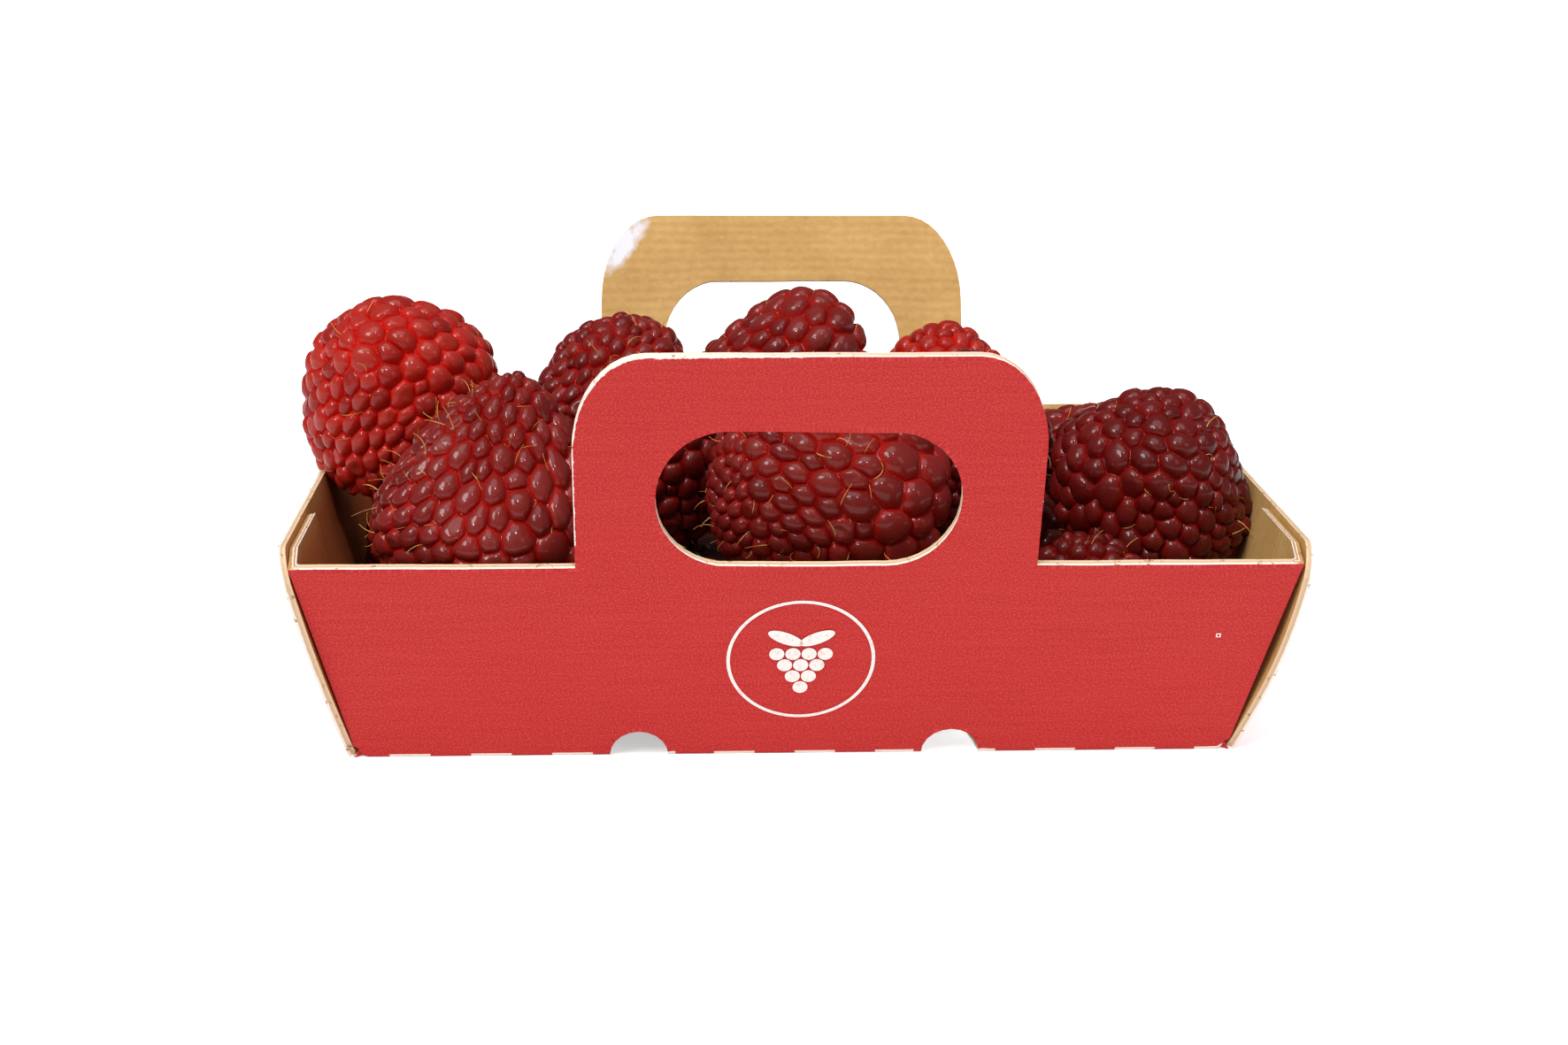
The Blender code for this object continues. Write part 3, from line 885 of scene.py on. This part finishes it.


# %% [markdown]
# ## The fruit's finish
# A drupelet's skin is thin and its juice lets light through, so the shader scatters light under
# the surface, red much further than green or blue. The creases are painted a clearer, brighter red
# that stands for light scattered through the juice, deepening to painted shade at their very bottom.
# The tops are dulled by a pale bloom, partly the fruit's own and partly a painted reflection of the
# light. Each bead's own tint and two noises keep the red uneven. Three finishes share these nodes:
# bright for the lighter, more orange-red berries, bloomed for most, and dark, a darker copy that is
# painted shade for the berries that lie in shadow.

# %% Finishes of the fruit
# The third finish is a darker copy of the same red: painted shade for the berries in shadow, on the right and deep
# in the heap.
FRUIT = {
    "bright": (rgb(190, 16, 4), rgb(154, 18, 8), rgb(146, 52, 40)),
    "bloomed": (rgb(158, 12, 4), rgb(112, 13, 8), rgb(112, 44, 40)),
    "dark": (rgb(126, 7, 3), rgb(94, 8, 5), rgb(88, 25, 22)),
}
BEAD_DARKEST = (0.70, 0.62, 0.66, 1)
BEAD_LIGHTEST = (1.16, 1.05, 1.0, 1)


def fruit_finish(name, crease, skin, bloom_and_reflection):
    material, tree, shader = new_finish(
        name,
        0.46,
        Specular_IOR_Level=0.14,
        Subsurface_Weight=0.35,
        Subsurface_Radius=(1.0, 0.16, 0.08),
        Subsurface_Scale=1.6 * MM,
        Coat_Weight=0.36,
        Coat_Roughness=0.075,
    )
    place = node(tree, "TexCoord").outputs["Object"]
    rise = attribute(tree, "bead_rise")
    tint = attribute(tree, "bead_tint")
    patches = grain(tree, stretched(tree, place, (150, 150, 150)), 1.0, 2.0)
    dust = grain(tree, stretched(tree, place, (1300, 1300, 1300)), 1.0, 4.0, 0.7)
    # The creases are painted: their very bottom is darker, as painted shade, and above it a brighter red stands for
    # light scattered through the juice.
    crease_shade = tuple(0.75 * channel for channel in crease[:3]) + (1.0,)
    body = ramp(tree, rise, [(0.0, crease_shade), (0.30, crease), (0.75, skin), (1.0, skin)])
    shade = ramp(tree, tint, [(0.0, BEAD_DARKEST), (0.5, (1, 1, 1, 1)), (1.0, BEAD_LIGHTEST)])
    body = blend(tree, 1.0, body, shade, "MULTIPLY")
    # The pale bloom on the bead tops is partly the fruit's own bloom and partly a painted reflection of the light.
    amount = math_node(tree, "MULTIPLY", math_node(tree, "POWER", rise, 2.5), patches)
    amount = math_node(tree, "MULTIPLY", amount, math_node(tree, "ADD", dust, 0.25))
    amount = math_node(tree, "MULTIPLY", amount, math_node(tree, "ADD", tint, 0.35), clamp=True)
    tree.links.new(blend(tree, amount, body, bloom_and_reflection), shader.inputs["Base Color"])
    dimples = grain(tree, stretched(tree, place, (650, 650, 650)), 1.0, 2.0, 0.5)
    bump = node(tree, "Bump", {"Strength": 0.5, "Distance": 0.25 * MM, "Height": dimples})
    tree.links.new(bump.outputs[0], shader.inputs["Normal"])
    return material


finishes = {name: fruit_finish("fruit_" + name, *colours) for name, colours in FRUIT.items()}

# %% [markdown]
# ## Building the berries
# Each berry is one closed mesh and one piece. The side on which its beads are crowded is given in
# the punnet's own directions, so it is turned back into the berry's directions first. Points of
# the creases are kept with their facing, as the hairs of the next step grow there.

# %% Build the berries
BEAD_SINK = 0.75 * MM
BEAD_UNEVEN = 0.85
hair_roots = {}
bead_total = 0
triangle_total = 0
for index, (name, row) in enumerate(PLACES.items()):
    x, y, z, heading, tilt, length, width, taper = row
    count, crowd_side, crowd, dented, blunt, look = LOOKS.get(name, PLAIN_LOOK)
    draw = random.Random(100 + index)
    place = berry_place(x, y, z, heading, tilt)
    side = place.to_3x3().inverted() @ Vector(crowd_side)
    bm = packed_ball(count, side.normalized(), crowd, BEAD_UNEVEN, draw)
    bead_total += len(bm.faces)
    raise_beads(bm, (width + length) / 4 * MM, 1, dented, draw)
    shape_berry(bm, length * MM, width * MM, taper, blunt, BEAD_SINK, 10 * index)
    bmesh.ops.transform(bm, matrix=place, verts=bm.verts)
    bmesh.ops.recalc_face_normals(bm, faces=bm.faces[:])
    rise = bm.verts.layers.float["bead_rise"]
    bm.normal_update()
    if name in LOOKS:
        creases = [vert for vert in bm.verts if vert[rise] < 0.2]
        hair_roots[name] = [(vert.co.copy(), vert.normal.copy()) for vert in creases]
    triangle_total += sum(len(face.verts) - 2 for face in bm.faces)
    berry = keep(bm, "berry_" + name, "berry_heap")
    berry.data.materials.append(finishes[look])
print("berries:", len(PLACES), "beads:", bead_total, "triangles:", triangle_total)

# %% [markdown]
# ## Hairs
# A dry golden hair, the remains of a flower's style, rises from many of the creases. One hair is a
# three-sided tube: a triangle that is extruded, turned and made thinner a few times. It is made in
# a few curls, and copies are set at the creases, each leaning over by chance. A crease too near
# to one that already has a hair is passed over.

# %% Hairs
HAIR_RADIUS = 0.075 * MM
HAIR_GAP = 1.3 * MM
HAIR_STEPS = 6
HAIR_COUNTS = {"left_front": 170, "front_middle": 150, "right_front": 55, "left_rear": 45}
FEW_HAIRS = 35


def hair_template(length, curl):
    """One hair standing on the origin. The curl is how far it turns over its length."""
    bm = bmesh.new()
    bmesh.ops.create_circle(bm, segments=3, radius=HAIR_RADIUS, cap_ends=True)
    tip = bm.faces[:]
    middle = Vector()
    bend = Matrix.Rotation(curl / HAIR_STEPS, 3, "Y")
    for step in range(HAIR_STEPS):
        tip = bmesh.ops.extrude_discrete_faces(bm, faces=tip)["faces"]
        angle = curl * (step + 0.5) / HAIR_STEPS
        move = Vector((math.sin(angle), 0, math.cos(angle))) * length / HAIR_STEPS
        middle += move
        verts = tip[0].verts[:]
        bmesh.ops.translate(bm, vec=move, verts=verts)
        bmesh.ops.rotate(bm, cent=middle, matrix=bend, verts=verts)
        bmesh.ops.scale(bm, vec=(0.86, 0.86, 0.86), space=Matrix.Translation(-middle), verts=verts)
    bmesh.ops.holes_fill(bm, edges=bm.edges[:])
    bmesh.ops.recalc_face_normals(bm, faces=bm.faces[:])
    mesh = bpy.data.meshes.new("hair_template")
    bm.to_mesh(mesh)
    bm.free()
    return mesh


HAIR_KINDS = ((3.4, 1.5), (3.0, 0.8), (2.6, 1.9), (3.8, 0.5))
templates = [hair_template(size * MM, curl) for size, curl in HAIR_KINDS]
draw = random.Random(7)
bm = bmesh.new()
for name, roots in hair_roots.items():
    taken = []
    for _ in range(HAIR_COUNTS.get(name, FEW_HAIRS)):
        spot, facing = roots[draw.randrange(len(roots))]
        if any((spot - other).length < HAIR_GAP for other in taken):
            continue
        taken.append(spot)
        lean = Matrix.Rotation(draw.uniform(0.3, 1.2), 4, "Y")
        spin = Matrix.Rotation(draw.uniform(0, 2 * math.pi), 4, "Z")
        roll = Matrix.Rotation(draw.uniform(0, 2 * math.pi), 4, "Z")
        size = Matrix.Scale(draw.uniform(0.55, 1.15), 4)
        upright = facing.to_track_quat("Z", "Y").to_matrix().to_4x4()
        first = len(bm.verts)
        bm.from_mesh(templates[draw.randrange(len(templates))])
        bm.verts.ensure_lookup_table()
        matrix = Matrix.Translation(spot + facing * 0.35 * MM) @ upright @ spin @ lean @ roll @ size
        bmesh.ops.transform(bm, matrix=matrix, verts=bm.verts[first:])
hairs = keep(bm, "berry_hairs")
for template in templates:
    bpy.data.meshes.remove(template)

material, tree, shader = new_finish("dry_gold", 0.5, Specular_IOR_Level=0.4)
place = node(tree, "TexCoord").outputs["Object"]
tone = grain(tree, stretched(tree, place, (500, 500, 500)), 1.0)
gold = ramp(tree, tone, [(0.3, rgb(184, 104, 44)), (0.5, rgb(222, 156, 76)), (0.75, rgb(238, 192, 118))])
tree.links.new(gold, shader.inputs["Base Color"])
hairs.data.materials.append(material)
print("hairs:", len(hairs.data.polygons), "faces")

# %% [markdown]
# ## The heap's core
# Under the berries lies a dark mound, smaller than the frame's heap, so that no gap between them
# shows the empty tray. It is an icosphere, flattened and made uneven by noise. It stays above the
# drain slots, so that the ground can still be seen through them.

# %% The core
CORE_CENTRE = (0, 0, 10.5 * MM)
CORE_SIZE = (42.0 * MM, 21.0 * MM, 6.5 * MM)

bm = bmesh.new()
size = Matrix.Translation(CORE_CENTRE) @ Matrix.Diagonal((*CORE_SIZE, 1.0))
bmesh.ops.create_icosphere(bm, subdivisions=4, radius=1.0)
for vert in bm.verts:
    vert.co *= 1 + 0.12 * noise.noise(vert.co * 5)
bmesh.ops.transform(bm, matrix=size, verts=bm.verts)
core = keep(bm, "heap_core", "berry_heap")
material, tree, shader = new_finish("heap_shadow", 0.7)
place = node(tree, "TexCoord").outputs["Object"]
tone = grain(tree, stretched(tree, place, (300, 300, 300)), 1.0)
# The mound's deep red is painted shade: it stands for the shaded berries seen through the gaps.
shadow = ramp(tree, tone, [(0.3, rgb(58, 8, 10)), (0.7, rgb(88, 14, 14))])
tree.links.new(shadow, shader.inputs["Base Color"])
core.data.materials.append(material)

# %% [markdown]
# ## Ground, light and camera
# The punnet stands on a plain white ground under a white sky. One broad light from the left, in
# front and above does most of the work, with a broader one overhead. A smaller one on the right
# opens the shadows, and two small ones put the bright dots on the beads. The sky is bright to the
# camera, and dimmer as a light and in reflections. The ground glows a little for the camera only,
# which keeps it white. The camera stands a little above the rim.

# %% Ground
GROUND_LIFT = 0.5

bm = bmesh.new()
bmesh.ops.create_grid(bm, x_segments=1, y_segments=1, size=3.0)
mesh = bpy.data.meshes.new("ground")
bm.to_mesh(mesh)
bm.free()
ground = bpy.data.objects.new("ground", mesh)
bpy.context.scene.collection.objects.link(ground)
material, tree, shader = new_finish("white_ground", 0.9, Specular_IOR_Level=0.1)
shader.inputs["Base Color"].default_value = (0.92, 0.92, 0.92, 1)
shader.inputs["Emission Color"].default_value = (1, 1, 1, 1)
seen = node(tree, "LightPath").outputs["Is Camera Ray"]
tree.links.new(math_node(tree, "MULTIPLY", seen, GROUND_LIFT), shader.inputs["Emission Strength"])
mesh.materials.append(material)
ground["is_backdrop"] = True

# %% Light
SKY = 0.46
SKY_SEEN = 1.1
SKY_MIRRORED = 0.12


def sun(name, heading, height, strength, width):
    """A soft distant light. The heading is where it stands: 0 in front, 90 on the right."""
    light = bpy.data.lights.new(name, "SUN")
    light.energy = strength
    light.angle = math.radians(width)
    lamp = bpy.data.objects.new(name, light)
    bpy.context.scene.collection.objects.link(lamp)
    a, e = math.radians(heading), math.radians(height)
    back = Vector((math.sin(a) * math.cos(e), -math.cos(a) * math.cos(e), math.sin(e)))
    lamp.rotation_euler = back.to_track_quat("Z", "Y").to_euler()


world = bpy.data.worlds.new("white_sky")
world.use_nodes = True
sky = world.node_tree.nodes["Background"]
sky.inputs["Color"].default_value = (1, 1, 1, 1)
rays = node(world.node_tree, "LightPath")
strength = math_node(world.node_tree, "MULTIPLY", rays.outputs["Is Camera Ray"], SKY_SEEN - SKY)
mirrored = math_node(world.node_tree, "MULTIPLY", rays.outputs["Is Glossy Ray"], SKY_MIRRORED - SKY)
strength = math_node(world.node_tree, "ADD", strength, mirrored)
world.node_tree.links.new(math_node(world.node_tree, "ADD", strength, SKY), sky.inputs["Strength"])
bpy.context.scene.world = world
sun("key_left", -38, 50, 1.75, 22)
sun("top", 10, 80, 0.95, 40)
sun("fill_right", 50, 30, 0.18, 20)
sun("dots_left", -25, 38, 0.5, 5)
sun("dots_right", 20, 55, 0.4, 5)
bpy.context.scene.view_settings.view_transform = "Standard"

# %% Camera
CAMERA_PLACE = (-15.274 * MM, -339.155 * MM, 109.908 * MM)
CAMERA_YAW = math.radians(2.5913)
CAMERA_PITCH = math.radians(14.7385)
CAMERA_ROLL = math.radians(0.3266)

lens = bpy.data.cameras.new("camera")
lens.sensor_width = 36.0
lens.lens = 59.694
lens.clip_start = 0.01
lens.clip_end = 20.0
camera = bpy.data.objects.new("camera", lens)
bpy.context.scene.collection.objects.link(camera)
aim = Matrix.Rotation(-CAMERA_YAW, 4, "Z") @ Matrix.Rotation(math.pi / 2 - CAMERA_PITCH, 4, "X")
camera.matrix_world = Matrix.Translation(CAMERA_PLACE) @ aim @ Matrix.Rotation(CAMERA_ROLL, 4, "Z")
bpy.context.scene.camera = camera

# %% [markdown]
# ## Measure and finish
# The finished object's size is printed, in millimetres. The finished object has to stay
# close to the frame's size.

# %% Measure and finish
low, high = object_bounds()
print("finished, mm:", [round(1000 * (b - a), 1) for a, b in zip(low, high)])
